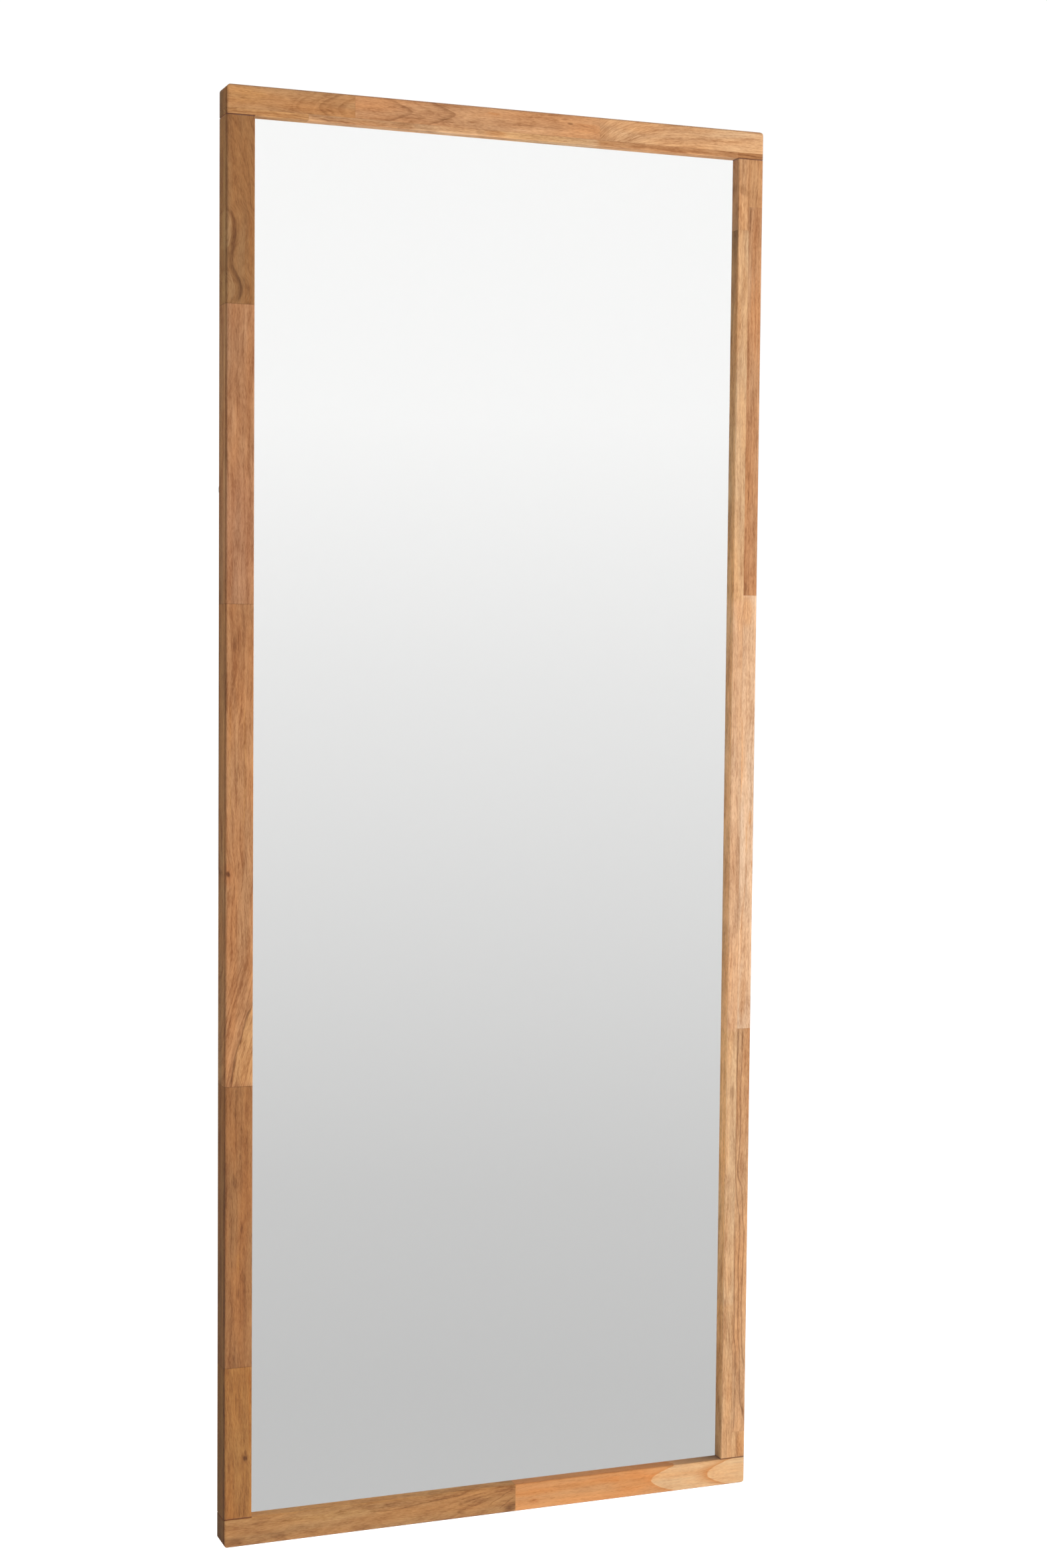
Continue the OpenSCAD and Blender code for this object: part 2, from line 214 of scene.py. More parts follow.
# The frame in mm. A place on a stave is mm along its grain and mm across it, both from the frame's top left
# as seen from the front, and deep is mm behind its face.
outline = {"wide": 600, "tall": 1500, "front": 18, "member": 30}   # front: from the origin to the face
grain = {
    "level": 0.88,                  # wood's own colour for the brightness it shows under these lights
    "dark": (0.62, 0.51, 0.42),     # a stave's deepest and palest shades, as multiples of its colour
    "light": (1.27, 1.35, 1.42),
    "middle": 0.53,                 # where between the two its shades lie
    # How far each size of streak reaches from there
    "hair": 0.26, "fibre": 0.62, "streak": 0.75, "tone": 1.0, "cloud": 0.75,
    "warm": (1.05, 0.97, 0.88),     # the hue wanders between these
    "cool": (0.97, 1.02, 1.09),
    "pores": 0.35, "poreTint": (0.60, 0.50, 0.42),
    "dashes": 0.28, "dashTint": (0.66, 0.55, 0.47),
    # Painted shade along the frame's outer front arrises: how strong, and its tint
    "arris": 0.6, "arrisShadeTint": (0.45, 0.36, 0.28),
    "endTint": (0.62, 0.55, 0.48),
    # How rough the oiled wood is, and how much rougher along its fibres and pores and on its end grain
    "rough": 0.5, "rougher": 0.16, "endRougher": 0.1,
    "sheen": 0.3,
    "reliefStrength": 0.35, "reliefDepth": 0.0002,   # the depth is in m
    # How dark the glue lines, the butt joints, and the joints between rail and stile are
    "glue": 0.16, "butt": 0.12, "glueTint": (0.36, 0.28, 0.22),
    "groove": 0.97, "grooveTint": (0.30, 0.13, 0.02),
}
cells = {   # how large the noises are, in mm along, across and deep
    "meander": (120, 45, 45), "hue": (95, 13, 13), "tone": (80, 7, 7), "streak": (45, 2.4, 7),
    "cloud": (24, 9, 9), "wobble": (16, 4, 4), "fibre": (15, 1.2, 1.2), "dashes": (6.5, 0.9, 0.9),
    "pores": (6.0, 0.46, 0.46), "hair": (5, 0.85, 0.85),
}
shades = {   # of the marks, as multiples of the wood under them
    "ink": (0.46, 0.39, 0.34), "umber": (0.62, 0.54, 0.47), "dark": (0.78, 0.71, 0.65),
    "red": (0.93, 0.82, 0.73), "amber": (0.80, 0.64, 0.48), "orange": (1.0, 0.85, 0.66),
    "grey": (0.84, 0.86, 0.90), "pink": (1.05, 1.02, 1.10), "yellow": (1.08, 1.10, 0.98),
    "pale": (1.14, 1.20, 1.26), "cream": (1.22, 1.36, 1.56), "sapwood": (1.15, 1.52, 2.1),
}
# Painted light and shade on a side, as shares of the front's colour: its axis and direction, shares at places
# along it, shares from one depth to another, and a tint
# The left stile's outer side, painted in shade: darker than the front, more so towards the bottom and the
# back
leftSidePaintedShade = (
    "X", -1, [(0, 1.04), (300, 1.04), (600, 0.8), (1080, 0.75), (1220, 0.6), (1412, 0.47), (1500, 0.4)],
    (4, 26, 1.05, 0.8), (0.97, 0.99, 0.84),
)
# pith: where the tree's heart runs, as mm along, mm across, mm behind the face, and how fast it goes deeper
# pitch, rings, ringsAt: mm between year rings, how dark they are, and shares of that along the stave
# flow, sway, calm: how far the fibres shift across, how much they meander, and below 1 where grain shows less
# butt, ragged: how dark its butt joints are, and by how many mm its marks' ends are ragged
# the painted light and shade of its sides, as above; seed: its own patch of the noises
# marks: kind, place or points, the figures that markShape takes for that kind, a shade, and its share
staves = {
    "top_rail_upper_stave_1": {
        "colour": (0.47, 0.23, 0.09), "seed": 1, "pith": (75, 19, 42, -0.18), "pitch": 3.9, "rings": 0.14,
        "ringsAt": [(0, 0.15), (58, 0.35), (76, 1.0), (135, 1.0)], "ragged": 3.0,
        # Painted shade on its left end, darker towards the back
        "paintedShading": [("X", -1, [(0, 0.85), (135, 0.85)], (3, 26, 1.0, 0.6), (0.98, 1.02, 0.86))],
        "marks": [
            ("arc", (73, 16), -2.0, 5, (1.5, 6), "dark", 0.8),
            ("arc", (97, 16), -2.0, 5, (1.5, 7), "umber", 0.75),
            ("arc", (117, 16), -2.0, 5, (1.5, 8), "dark", 1.0),
            ("line", [(34, 17.5), (50, 20), (64, 21), (80, 24)], 1.0, "dark", 0.7),
            ("line", [(38, 21), (58, 22.6), (72, 25.5)], 0.8, "dark", 0.6),
            ("line", [(6, 6), (30, 6.6), (52, 6)], 0.9, "dark", 0.6),
            ("line", [(10, 13), (34, 13.4), (60, 12.6)], 0.8, "dark", 0.6),
            ("spot", (20, 10), (24, 9), 0.0, "yellow", 0.6),
        ],
    },
    "top_rail_upper_stave_2": {
        "colour": (0.54, 0.27, 0.12), "seed": 2,
        "pith": (243, 11, 9.5, 0.1), "pitch": 1.9, "rings": 0.08, "ragged": 3.0,
        "ringsAt": [(135, 1.0), (236, 1.0), (262, 0.3), (406, 0.15)],
        "marks": [
            ("spot", (185, 12), (66, 18), 0.0, "red", 0.5),
            ("arc", (196, 12.5), 2.7, 2.5, (10, 2.4), "umber", 0.8),
            ("arc", (219, 12), 2.7, 2.5, (7, 3), "dark", 0.6),
            ("arc", (243, 11.5), 2.7, 2.5, (12, 1.6), "umber", 1.0),
            ("line", [(173, 13.5), (181, 13.7), (190, 13.4)], 0.9, "umber", 0.8),
            ("line", [(191, 15), (200, 15.3), (209, 15)], 0.9, "umber", 0.8),
            ("line", [(228, 19), (236, 19.4), (243, 19.2)], 0.9, "umber", 0.8),
            ("spot", (253, 12.4), (9, 4), 0.0, "pale", 0.7),
            ("spot", (286, 6.5), (8, 1.6), 0.0, "orange", 0.8),
            ("line", [(262, 12), (290, 11.5), (330, 12)], 1.4, "pale", 0.8),
            ("line", [(300, 7.8), (315, 7.4), (332, 7)], 1.3, "dark", 0.8),
            ("line", [(295, 15.2), (325, 15.8), (353, 15.4)], 1.2, "dark", 0.9),
            ("line", [(304, 21.3), (316, 21.6), (330, 21.4)], 0.9, "cream", 0.9),
            ("line", [(252, 19), (300, 20), (400, 19)], 1.8, "pale", 0.5),
            ("line", [(375, 9.6), (390, 10), (406, 10.4)], 2.4, "red", 0.9),
            ("line", [(344, 2.8), (356, 2.2), (366, 2.6)], 1.6, "dark", 0.9),
            ("spot", (366, 5.6), (5, 0.9), 0.0, "umber", 0.8),
            ("spot", (372, 9.5), (3.6, 1.3), 0.05, "ink", 0.9),
        ],
    },
    "top_rail_upper_stave_3": {
        "colour": (0.59, 0.33, 0.16), "seed": 3, "pith": (500, 90, 30, 0.0), "pitch": 3.4, "rings": 0.12,
        "flow": [(406, 30), (440, 7), (475, -3), (520, -6), (600, -7)],
        "marks": [
            ("spot", (406, 12), (11, 20), 0.2, "dark", 0.9),
            ("line", [(410, 21), (424, 12), (442, 2)], 1.8, "pale", 0.9),
            ("line", [(422, 24), (440, 12), (456, 2)], 1.6, "pale", 0.9),
            ("line", [(436, 24), (452, 14), (474, 3)], 2.0, "pale", 0.8),
            ("line", [(412, 15), (420, 9), (430, 2)], 1.0, "dark", 0.6),
            ("spot", (574, 12), (40, 12), 0.0, "pale", 0.7),
            ("line", [(552, 1.6), (575, 1.2), (598, 1.6)], 1.8, "orange", 0.8),
        ],
    },
    "top_rail_lower_stave_1": {
        "colour": (0.54, 0.28, 0.11), "seed": 4, "pith": (40, 60, 20, 0.0), "pitch": 3.0, "rings": 0.2,
        # Painted light on its underside and painted shade on its left end
        "paintedShading": [("Z", -1, [(0, 1.0), (86, 1.2)], (2, 16, 0.88, 1.0), (1.1, 1.12, 1.15)),
                  ("X", -1, [(0, 0.85), (86, 0.85)], (3, 26, 1.0, 0.55), (0.95, 0.97, 0.82))],
        "marks": [
            ("line", [(2, 26), (40, 27.5), (84, 27)], 0.8, "dark", 0.8),
            ("line", [(24, 29), (50, 28.7), (84, 29.4)], 0.7, "dark", 0.7),
        ],
    },
    "top_rail_lower_stave_2": {
        "colour": (0.56, 0.32, 0.16), "seed": 5, "pith": (300, -50, 20, 0.0), "pitch": 3.2, "rings": 0.12,
        # Painted light on its underside
        "paintedShading": [("Z", -1, [(86, 1.2), (569, 1.2)], (2, 16, 1.1, 1.05), (1.12, 1.14, 1.18))],
        "marks": [
            ("line", [(82, 27), (140, 27), (202, 27)], 9.0, "amber", 0.7),
            ("line", [(86, 24.4), (98, 27), (112, 30)], 1.1, "umber", 0.8),
            ("line", [(118, 24), (134, 27), (152, 30)], 1.2, "dark", 0.9),
            ("line", [(140, 24), (156, 27), (170, 30)], 0.9, "dark", 0.8),
            ("spot", (271, 27), (5, 2), 0.0, "umber", 0.6),
            ("spot", (288, 26.5), (13, 3), 0.0, "amber", 0.8),
            ("spot", (340, 27), (60, 6), 0.0, "yellow", 0.8),
            ("line", [(400, 27), (490, 27), (575, 27)], 9.0, "amber", 0.95),
            ("spot", (450, 26.5), (12, 3), 0.0, "dark", 0.8),
            ("spot", (523, 26.4), (14, 3), 0.0, "dark", 0.8),
            ("spot", (561, 27), (10, 4), 0.0, "dark", 0.9),
        ],
    },
    "top_rail_lower_stave_3": {
        "colour": (0.39, 0.17, 0.06), "seed": 6,
        "pith": (590, 50, 20, 0.0), "pitch": 2.6, "rings": 0.25, "marks": [],
    },
    "bottom_rail_stave_1": {
        "colour": (0.41, 0.20, 0.07), "seed": 7,
        "pith": (263, 1497, 20, -0.15), "pitch": 4.0, "rings": 0.22,
        # Painted light on its top face and painted shade on its left end
        "paintedShading": [("Z", 1, [(0, 1.5), (250, 1.5), (324, 1.05)], (2, 16, 1.05, 1.05), (1.0, 1.06, 1.12)),
                  ("X", -1, [(0, 0.6), (324, 0.6)], (3, 26, 1.0, 0.65), (0.95, 0.93, 0.68))],
        "ringsAt": [(0, 0.2), (220, 0.25), (250, 1.0), (324, 1.0)],
        "marks": [
            ("spot", (8, 1494), (12, 5), 0.0, "umber", 0.7),
            ("spot", (57, 1492), (10, 4), 0.1, "umber", 0.6),
            ("spot", (150, 1495), (16, 3), 0.0, "dark", 0.7),
            ("line", [(40, 1474), (90, 1479), (156, 1478.8)], 0.9, "dark", 0.6),
            ("line", [(156, 1479), (185, 1481), (206, 1479), (226, 1477), (244, 1475.7),
                      (269, 1473.6)], 1.1, "umber", 0.9),
            ("line", [(170, 1474.4), (200, 1473), (236, 1471.5)], 0.8, "dark", 0.8),
            ("spot", (262, 1492.4), (5, 3), 0.2, "umber", 0.7),
            ("line", [(262, 1494), (270, 1487), (281, 1482)], 1.2, "dark", 0.8),
            ("line", [(289, 1497), (294.7, 1488), (302.8, 1484), (313, 1478),
                      (324, 1472.8)], 1.2, "umber", 0.9),
            ("line", [(303, 1496.5), (312, 1490), (326, 1481)], 1.4, "umber", 0.9),
            ("line", [(208, 1498.6), (260, 1498.8), (323, 1498.4)], 1.2, "umber", 0.8),
            ("spot", (318, 1495.5), (9, 6), -0.5, "umber", 0.9),
            ("spot", (110, 1478), (60, 5), 0.0, "yellow", 0.5),
        ],
    },
    "bottom_rail_stave_2": {
        "colour": (0.61, 0.28, 0.10), "seed": 8,
        "pith": (360, 1420, 30, 0.0), "pitch": 3.6, "rings": 0.04, "calm": 0.4, "ragged": 3.0,
        # Painted shade on its top face, darkest in the right-hand corner of the recess
        "paintedShading": [("Z", 1, [(324, 1.0), (480, 0.93), (530, 0.66), (572, 0.42)], (2, 16, 1.0, 0.95),
                   (1.11, 1.01, 0.96))],
        "marks": [
            ("line", [(318, 1481), (360, 1480.5), (400, 1478.5), (450, 1477.5)], 7.0, "orange", 0.9),
            ("line", [(318, 1497), (380, 1494.5), (430, 1492)], 6.0, "pale", 0.6),
            ("spot", (346.4, 1490.3), (6, 3.2), 0.0, "red", 0.9),
            ("spot", (346, 1489), (2.5, 0.8), 0.0, "umber", 0.9),
            ("spot", (464, 1483), (28, 12), 0.0, "orange", 0.9),
            ("arc", (485, 1484.5), -9.2, 30, (12, 1.2), "orange", 0.7),
            ("bowl", (485.5, 1484.5), 0.146, "sapwood", 1.0),
            ("arc", (486, 1484.5), -9.2, 30, (0.8, 4), "pale", 0.4),
            ("arc", (553, 1485), -9.2, 30, (22, 1.0), "amber", 1.0),
            ("arc", (553, 1485), -9.2, 30, (8, 0.8), "orange", 0.8),
        ],
    },
    "left_stile_stave_1": {
        "colour": (0.30, 0.14, 0.05), "butt": 0.5, "seed": 9,
        "pith": (70, 15, 33, -0.15), "pitch": 3.2, "rings": 0.12,
        "paintedShading": [leftSidePaintedShade],
        "ringsAt": [(30, 1.0), (92, 1.0), (118, 0.4), (218, 0.4)],
        "flow": [(30, -16), (116, -3), (140, 4.5), (170, 1.5), (186, 2.5), (202, 9), (218, 7)],
        "marks": [
            ("side", [(120, -3), (126, 1), (133, 5), (145, 6.2), (158, 4.5), (165, 0), (175, -3), (183, -2),
                      (188, 3), (196, 7.5), (204, 9.7), (212, 7.5), (220, 2)], -1, "cream", 0.9),
            ("line", [(122, 0), (129, 5), (140, 8.6), (160, 7.6), (175, 5), (188, 8.5), (197, 13),
                      (205, 14.6), (213, 12.5), (221, 6)], 4.6, "umber", 1.0),
            ("line", [(176, 6), (188, 10), (197, 14.4), (205, 15.8), (213, 14), (222, 8)], 2.2, "ink", 0.6),
            ("line", [(122, 2), (129, 6.4), (140, 9.4), (160, 8.4), (176, 6)], 1.8, "dark", 0.6),
            ("spot", (198, 19), (6, 2.5), 0.0, "grey", 0.8),
            ("line", [(129, 25), (160, 26), (222, 25)], 1.6, "orange", 0.7),
            ("line", [(140, 21), (180, 20.5), (222, 22)], 1.2, "orange", 0.6),
            ("line", [(83, 22.5), (100, 24.2), (126, 26)], 1.0, "umber", 0.9),
        ],
    },
    "left_stile_stave_2": {
        "colour": (0.42, 0.20, 0.09), "butt": 0.5, "seed": 10,
        "pith": (380, 70, 30, 0.0), "pitch": 4.2, "rings": 0.14,
        "paintedShading": [leftSidePaintedShade],
        "marks": [
            ("line", [(312, 0), (332, 8), (352, 16), (372, 25), (388, 30)], 8.0, "pale", 0.9),
            ("spot", (452, 15), (78, 22), 0.0, "pink", 0.9),
            ("spot", (262, 9), (44, 8), 0.0, "dark", 0.4),
            ("line", [(224, 20), (262, 18), (310, 22)], 1.2, "dark", 0.7),
        ],
    },
    "left_stile_stave_3": {
        "colour": (0.47, 0.22, 0.09), "butt": 0.5, "seed": 11,
        "pith": (700, -40, 24, 0.0), "pitch": 4.4, "rings": 0.2,
        "paintedShading": [leftSidePaintedShade],
        "flow": [(521, 0), (765, 0), (796, 3.2), (826, 0), (880, 0), (905, -4), (930, -10), (1016, -31)],
        "marks": [
            ("line", [(490, 15), (560, 15), (622, 15)], 34.0, "dark", 0.65),
            ("spot", (532, 6), (5, 3), 0.3, "dark", 0.6),
            ("spot", (561, 10.5), (11, 2.8), 0.0, "umber", 0.8),
            ("line", [(576, 11.4), (590, 11), (600, 10.6)], 1.2, "dark", 0.8),
            ("line", [(596, 10), (612, 10.3), (626, 10)], 1.0, "umber", 0.9),
            ("line", [(679, 12.7), (692, 12.9), (706, 12.6)], 0.9, "umber", 0.8),
            ("line", [(560, 19), (592, 13.5), (626, 6.5)], 3.0, "pale", 0.9),
            ("line", [(620, 6), (680, 5), (742, 6)], 1.4, "yellow", 0.9),
            ("line", [(616, 13), (680, 12), (742, 13)], 1.6, "pale", 0.6),
            ("line", [(624, 20), (690, 21), (748, 19)], 1.8, "yellow", 0.9),
            ("line", [(640, 16), (700, 17), (770, 15)], 0.9, "dark", 0.6),
            ("spot", (797, 3.5), (14, 5.5), 0.0, "red", 0.9),
            ("spot", (797, 3.4), (5, 2.8), 0.0, "umber", 0.8),
            ("spot", (797, 3.6), (3.4, 2.2), 0.0, "ink", 1.0),
            ("spot", (797, 3.6), (2.6, 1.6), 0.0, "dark", 1.0),
            ("line", [(805, 10), (815, 9.9), (825, 9.5)], 1.1, "umber", 0.9),
            ("line", [(852, 22), (875, 15.5), (904, 7)], 1.4, "dark", 0.8),
            ("line", [(872, 25), (895, 17), (920, 10)], 1.0, "dark", 0.7),
            ("side", [(916, 34), (930, 30), (944, 24), (960, 19), (985, 12),
                      (1017, 6.6)], 1, "yellow", 0.9),
            ("side", [(916, 34), (930, 30), (944, 24), (960, 19), (985, 12), (1017, 6.6)], 1, "pale", 1.0),
            ("line", [(916, 34), (930, 30), (944, 24), (960, 19), (985, 12), (1018, 5.6)], 1.9, "ink", 0.9),
            ("line", [(968, 23), (985, 19.5), (1000, 17)], 0.8, "dark", 0.8),
            ("line", [(984, 27), (1000, 24), (1015, 22.5)], 0.8, "dark", 0.8),
        ],
    },
    "left_stile_stave_4": {
        "colour": (0.35, 0.15, 0.05), "butt": 0.5, "seed": 12,
        "pith": (1160, 52, 30, 0.0), "pitch": 4.0, "rings": 0.16,
        "paintedShading": [leftSidePaintedShade],
        "marks": [
            ("line", [(1017, 12), (1027, 12.4), (1037, 11.6)], 1.0, "umber", 0.7),
            ("line", [(1019, 24), (1036, 22.6), (1054, 21.6)], 1.2, "dark", 0.9),
            ("line", [(1037, 11.6), (1044, 11.4), (1051, 11.6)], 0.9, "umber", 0.7),
            ("line", [(1056, 18.6), (1062, 18.3), (1068, 18)], 0.8, "umber", 0.8),
            ("spot", (1089, 17.3), (4.5, 1.2), 0.0, "umber", 0.8),
            ("spot", (1115, 10.6), (8, 1.8), 0.1, "umber", 0.8),
            ("line", [(1148, 23), (1166, 18.5), (1184, 12)], 2.4, "dark", 0.8),
            ("spot", (1166, 19), (5, 2), 0.0, "umber", 0.6),
            ("spot", (1199, 15), (11, 2), 0.0, "yellow", 1.0),
            ("spot", (1202, 8), (3.4, 0.9), 0.0, "umber", 0.8),
            ("spot", (1216, 20), (7, 3.4), 0.0, "dark", 0.9),
            ("spot", (1232, 14.5), (7, 2), 0.0, "umber", 0.7),
            ("line", [(1223, 25.6), (1229, 25.8), (1235, 25.4)], 0.9, "umber", 0.8),
            ("spot", (1062, 26), (13, 2.6), 0.0, "pale", 0.8),
            ("line", [(1240, 12), (1262, 10.5), (1300, 13)], 1.2, "dark", 0.7),
        ],
    },
    "left_stile_stave_5": {
        "colour": (0.38, 0.16, 0.04), "butt": 0.5, "seed": 13,
        "pith": (1400, 60, 28, 0.0), "pitch": 1.35, "rings": 0.26,
        "ringsAt": [(1310, 1.0), (1395, 1.0), (1415, 0.4), (1471, 0.5)],
        "flow": [(1310, 0), (1400, 5), (1471, 7)], "sway": 5.0,
        "paintedShading": [leftSidePaintedShade],
        "marks": [
            ("line", [(1333, 12.4), (1346, 12.6), (1361, 12.8)], 1.3, "umber", 0.9),
            ("spot", (1413, 18), (9, 3.4), -0.1, "dark", 0.9),
            ("spot", (1405.5, 22.6), (4.8, 3.3), 0.0, "umber", 0.8),
            ("spot", (1406.5, 22.4), (2.6, 2.0), 0.0, "ink", 1.0),
            ("spot", (1400, 22.8), (3, 1), 0.0, "umber", 0.8),
            ("line", [(1312, 27), (1352, 27.6), (1400, 27)], 1.6, "orange", 0.9),
            ("line", [(1436, 18), (1452, 17.4), (1471, 17)], 1.1, "umber", 0.9),
            ("line", [(1440, 22), (1456, 21.6), (1471, 21)], 1.0, "umber", 0.8),
        ],
    },
    "right_stile_outer_stave_1": {
        "colour": (0.49, 0.24, 0.10), "seed": 14,
        "pith": (60, 650, 24, 0.0), "pitch": 3.6, "rings": 0.15, "marks": [],
    },
    "right_stile_outer_stave_2": {
        "colour": (0.48, 0.24, 0.11), "seed": 15, "pith": (300, 660, 26, 0.0), "pitch": 3.8, "rings": 0.18,
        "marks": [
            ("line", [(80, 584.4), (100, 585), (118, 584.6)], 1.2, "umber", 0.9),
            ("spot", (95, 592), (16, 3), 0.0, "dark", 0.6),
            ("line", [(150, 594), (200, 592.6), (250, 594)], 1.6, "red", 0.9),
            ("line", [(200, 584.4), (235, 584.6), (272, 584)], 1.2, "dark", 0.8),
            ("line", [(130, 589), (180, 588.4), (240, 589.6)], 1.0, "red", 0.9),
            ("spot", (309, 589.4), (9, 2), 0.0, "dark", 0.8),
            ("line", [(326, 586), (350, 586.4), (378, 586)], 6.0, "dark", 0.7),
            ("line", [(384, 593), (398, 592.6), (412, 593)], 1.0, "umber", 0.9),
            ("spot", (374, 587), (5, 1.1), 0.0, "umber", 0.8),
            ("spot", (394, 587.4), (6, 1.1), 0.0, "umber", 0.8),
            ("spot", (432, 585), (4, 1), 0.0, "umber", 0.8),
            ("spot", (464, 591), (46, 16), 0.0, "red", 0.7),
            ("spot", (496, 585), (8, 1.6), 0.0, "umber", 0.8),
        ],
    },
    "right_stile_outer_stave_3": {
        "colour": (0.68, 0.43, 0.26), "seed": 16, "pith": (740, 680, 30, 0.0), "pitch": 4.0, "rings": 0.08,
        "marks": [
            ("spot", (521, 588), (19, 7), 0.0, "orange", 0.9),
            ("line", [(624, 582.6), (660, 583.4), (695, 584.2), (718, 583.6),
                      (756, 582)], 0.9, "orange", 0.9),
            ("spot", (750, 594.6), (9, 1.8), 0.0, "orange", 0.9),
            ("line", [(754, 590.4), (772, 590.8), (790, 590.4)], 1.0, "orange", 1.0),
            ("line", [(796, 591), (808, 591.2), (822, 590.8)], 1.2, "amber", 0.9),
            ("spot", (800, 598), (4, 1.2), 0.0, "amber", 0.9),
            ("line", [(818, 591), (847.6, 588.2), (866.7, 586), (898.6, 586), (922, 584.2), (950, 581.5),
                      (982, 580)], 1.2, "amber", 0.85),
            ("spot", (950, 588), (30, 5), 0.0, "orange", 0.7),
        ],
    },
    "right_stile_outer_stave_4": {
        "colour": (0.56, 0.30, 0.14), "seed": 17, "pith": (1200, 700, 30, 0.0), "pitch": 5.0, "rings": 0.06,
        "marks": [
            ("spot", (990, 598.6), (12, 1.8), 0.0, "red", 0.9),
            ("line", [(982, 590), (1020, 589.2), (1053, 587.8), (1085, 588.8), (1107, 588.7), (1128, 587.1),
                      (1146, 586.4), (1157, 589.2), (1170, 591.7), (1195, 593.2), (1217, 594.8),
                      (1238, 594.5), (1271, 593.2), (1303, 593.1), (1345, 594.2), (1360, 596),
                      (1374, 599.6)], 1.5, "ink", 0.75),
            ("line", [(981, 584.6), (1005, 584.6), (1029, 583.4), (1069, 584.2), (1090, 584.2),
                      (1112, 583.4), (1142, 583.2), (1163, 584.5), (1178, 585.6), (1187, 587.3),
                      (1206, 589), (1228, 589), (1249, 588.2), (1282, 589.3), (1314, 588.9), (1356, 591.3),
                      (1378, 591.6), (1404, 592.8), (1418, 596.7), (1430, 599)], 1.6, "ink", 0.8),
            ("line", [(1200, 583.6), (1221, 583.9), (1249, 583.7), (1282, 584), (1303, 584.4),
                      (1321, 584.2), (1345, 586), (1367, 586.3), (1411, 585.9),
                      (1441, 585.2)], 1.5, "ink", 0.75),
            ("line", [(1036, 597.2), (1060, 597.6), (1088, 597.4)], 1.2, "red", 1.0),
            ("spot", (1417, 596), (7, 2), 0.0, "umber", 0.7),
        ],
    },
    "right_stile_outer_stave_5": {
        "colour": (0.60, 0.33, 0.15), "seed": 18, "pith": (1450, 660, 26, 0.0), "pitch": 3.4, "rings": 0.12,
        "marks": [
            ("line", [(1441, 589.9), (1455, 590.1), (1471, 589.9)], 0.8, "umber", 0.8),
            ("spot", (1456, 594), (16, 5), 0.0, "orange", 0.6),
        ],
    },
    "right_stile_inner_stave_1": {
        "colour": (0.53, 0.28, 0.13), "seed": 19, "pith": (60, 540, 24, 0.0), "pitch": 3.2, "rings": 0.15,
        "marks": [
            ("spot", (65, 577), (7, 6), 0.7, "umber", 0.8),
            ("line", [(70, 570), (85, 576), (102, 583)], 3.0, "pale", 0.9),
        ],
    },
    "right_stile_inner_stave_2": {
        "colour": (0.59, 0.35, 0.18), "seed": 20, "pith": (700, 500, 26, 0.0), "pitch": 3.2, "rings": 0.12,
        # Painted light and shade on its inner face along its length, darker at both ends
        "paintedShading": [("X", -1, [(83, 0.52), (110, 0.6), (200, 1.15), (400, 1.28), (700, 1.43), (900, 1.34),
                             (1050, 1.6), (1200, 1.43), (1330, 1.21), (1471, 0.83)],
                   (2, 16, 1.08, 0.9), (1.0, 0.95, 0.81))],
        "marks": [
            ("line", [(108, 575.6), (122, 576), (138, 576.2)], 1.0, "dark", 0.9),
            ("line", [(112, 579), (124, 579.4), (140, 579.6)], 1.0, "umber", 0.8),
            ("spot", (1056, 578), (9, 2.8), 0.0, "umber", 0.8),
            ("line", [(996, 573), (1014, 578), (1034, 581.5)], 2.4, "pale", 0.9),
            ("line", [(1284, 571), (1316, 576), (1352, 582)], 1.0, "dark", 0.9),
            ("line", [(1300, 570), (1332, 575), (1366, 581)], 0.9, "dark", 0.8),
            # painted shade on the inner face by the glass, below the top corner
            ("spot", (185, 568.6), (140, 3), 0.0, "dark", 0.9),
            ("line", [(505, 577), (740, 577), (990, 577)], 18.0, "pink", 1.0),
            ("line", [(505, 577), (740, 577), (990, 577)], 18.0, "pale", 0.35),
            ("line", [(1290, 577), (1400, 577), (1478, 577)], 18.0, "orange", 0.6),
        ],
    },
}


def markShape(along, across, kind, *figures):  # how strongly a mark shows, from 0 to 1
    if kind == "spot":
        (centreAlong, centreAcross), (length, width), lean = figures
        off = along - centreAlong
        far = ((off / length) ** 2.0 + ((across - centreAcross - off * lean) / width) ** 2.0) ** 0.5
        return far.rise(0.45, 1.3, 1.0, 0.0)
    if kind == "bowl":  # all that lies past a curve, from its tip on
        (tipAlong, tipAcross), bend = figures
        return (along - tipAlong - (across - tipAcross) ** 2.0 * bend).rise(-1.3, 1.3)
    if kind == "arc":  # a band that bends at its tip, open to the left where spread is positive
        (tipAlong, tipAcross), spread, blunt, (before, after) = figures
        off = along - tipAlong + (((across - tipAcross) ** 2.0 + blunt ** 2) ** 0.5 - blunt) * spread
        return off.rise(-before, 0.0) * off.rise(0.0, after, 1.0, 0.0)
    points, size = figures
    start, end = points[0][0], points[-1][0]
    fade = min(8.0, (end - start) * 0.25)
    inside = along.rise(start, start + fade) * along.rise(end - fade, end, 1.0, 0.0)
    off = across - along.follow(points)
    if kind == "line":
        return inside * off.math("ABSOLUTE").rise(size * 0.1, size * 0.9, 1.0, 0.0)
    return inside * (off * size).rise(-0.7, 0.7)  # a side: all that lies on one side of the points


